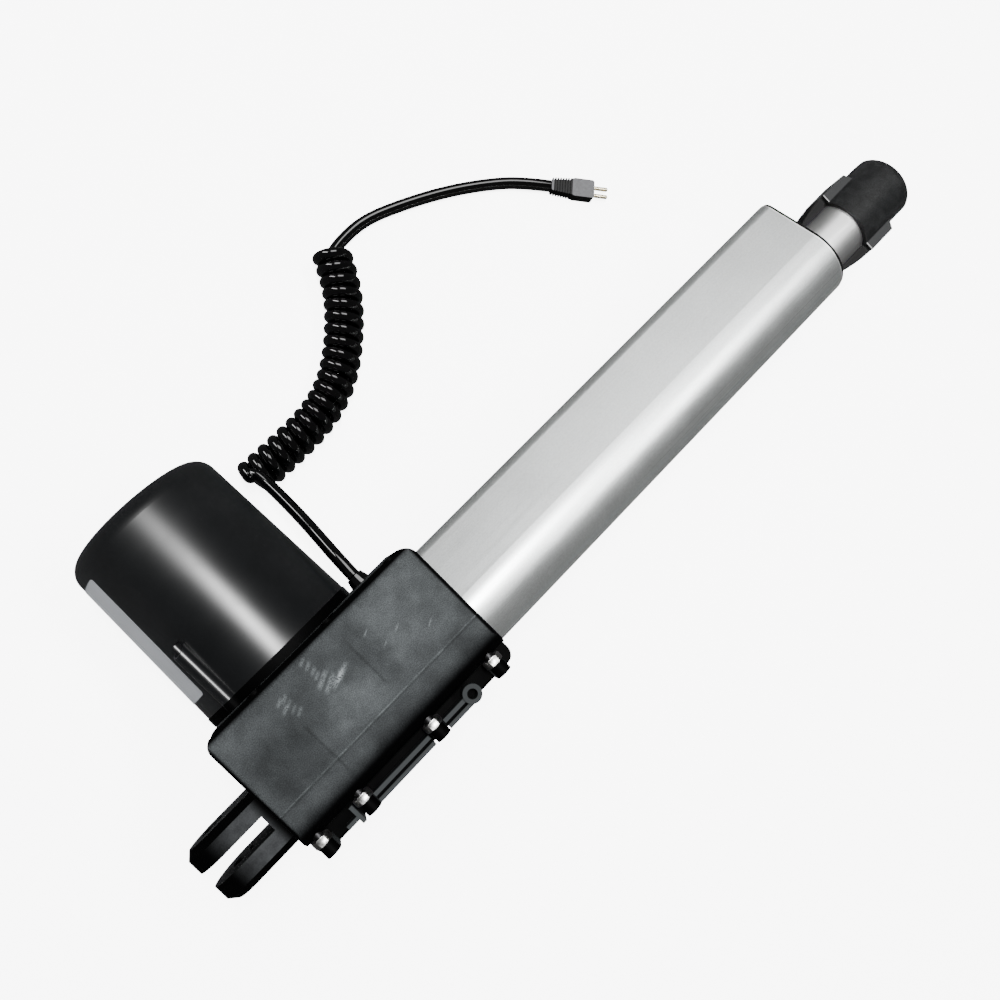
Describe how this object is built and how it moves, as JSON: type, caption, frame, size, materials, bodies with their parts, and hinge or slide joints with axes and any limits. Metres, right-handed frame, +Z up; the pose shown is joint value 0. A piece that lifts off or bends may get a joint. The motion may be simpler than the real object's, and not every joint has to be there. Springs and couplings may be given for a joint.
{
  "type": "linear actuator",
  "caption": "Lift chair linear actuator: right-angle motor and worm gearbox drive a push tube out of a teardrop outer tube, with a rear fork, a front pin connector and a curly lead.",
  "frame": {"origin": "on the floor under the middle of the actuator's box, without its lead", "axes": "+X along the spindle towards the front connector, +Y towards the motor's closed end, +Z up"},
  "size_m": [0.4167, 0.1871, 0.0868],
  "materials": {
    "gearbox_plastic": "moulded, fine matte grain",
    "fork_plastic": "moulded, matte",
    "motor_plastic": "moulded, glossy",
    "tube_aluminium": "satin anodised extrusion",
    "push_tube_metal": "satin drawn tube",
    "cap_plastic": "moulded, matte",
    "connector_plastic": "moulded, matte",
    "zinc_steel": "bright zinc plate",
    "black_steel": "black oxide",
    "bearing_steel": "ground",
    "gear_plastic": "moulded acetal",
    "spindle_steel": "rolled",
    "bronze": "sintered",
    "ferrite": "ground ferrite",
    "lamination": "stacked lamination",
    "copper": "turned",
    "carbon": "pressed carbon",
    "board": "solder resist",
    "switch_plastic": "moulded",
    "seal_rubber": "moulded",
    "cord_pvc": "glossy sheath",
    "plug_plastic": "moulded",
    "pin_metal": "nickel plate"
  },
  "bodies": {
    "actuator_body": {"gearbox_housing": "gearbox_plastic", "gearbox_cover": "gearbox_plastic", "clamp_bolts": "black_steel", "clamp_nuts": "zinc_steel", "rear_fork": "fork_plastic", "rear_bearing_outer_race": "bearing_steel", "rear_bearing_balls": "bearing_steel", "front_bearing_outer_race": "bearing_steel", "front_bearing_balls": "bearing_steel", "outer_tube": "tube_aluminium", "tube_end_cap": "cap_plastic", "guide_bush": "gear_plastic", "wiper_seal": "seal_rubber", "limit_switch_board": "board", "limit_switches": "switch_plastic", "motor_cover": "motor_plastic", "motor_screws": "black_steel", "motor_can": "zinc_steel", "motor_magnets": "ferrite", "carbon_brushes": "carbon", "brush_holder": "switch_plastic", "motor_front_bush": "bronze", "motor_rear_bush": "bronze", "worm_tail_bush": "bronze", "cord_gland": "seal_rubber", "cord_lead": "cord_pvc", "cord_coil": "cord_pvc", "cord_tail": "cord_pvc", "plug_body": "plug_plastic", "plug_pins": "pin_metal"},
    "push_rod": {"push_tube": "push_tube_metal", "push_tube_guide_ring": "gear_plastic", "front_connector": "connector_plastic", "connector_cross_pin": "spindle_steel", "drive_nut": "gear_plastic"},
    "spindle": {"spindle": "spindle_steel", "worm_wheel": "gear_plastic", "spindle_end_stop": "zinc_steel", "rear_bearing_inner_race": "bearing_steel", "front_bearing_inner_race": "bearing_steel"},
    "motor_rotor": {"worm_shaft": "spindle_steel", "armature": "lamination", "commutator": "copper"}
  },
  "joints": [
    {"name": "motor_spin", "type": "hinge", "parent": "actuator_body", "child": "motor_rotor", "pos_m": [-0.13245, -0.049, 0.0378], "axis": [0, 1, 0], "range_deg": [0, 408000]},
    {"name": "spindle_spin", "type": "hinge", "parent": "actuator_body", "child": "spindle", "pos_m": [-0.06715, -0.049, 0.0598], "axis": [1, 0, 0], "range_deg": [0, 12000.01]},
    {"name": "extension", "type": "slide", "parent": "actuator_body", "child": "push_rod", "axis": [1, 0, 0], "range_m": [0, 0.2]}
  ],
  "couplings": [
    {"joint": "spindle_spin", "follows": "motor_spin", "ratio": 0.029412},
    {"joint": "extension", "follows": "motor_spin", "m_per_rad": 0.000028086}
  ]
}
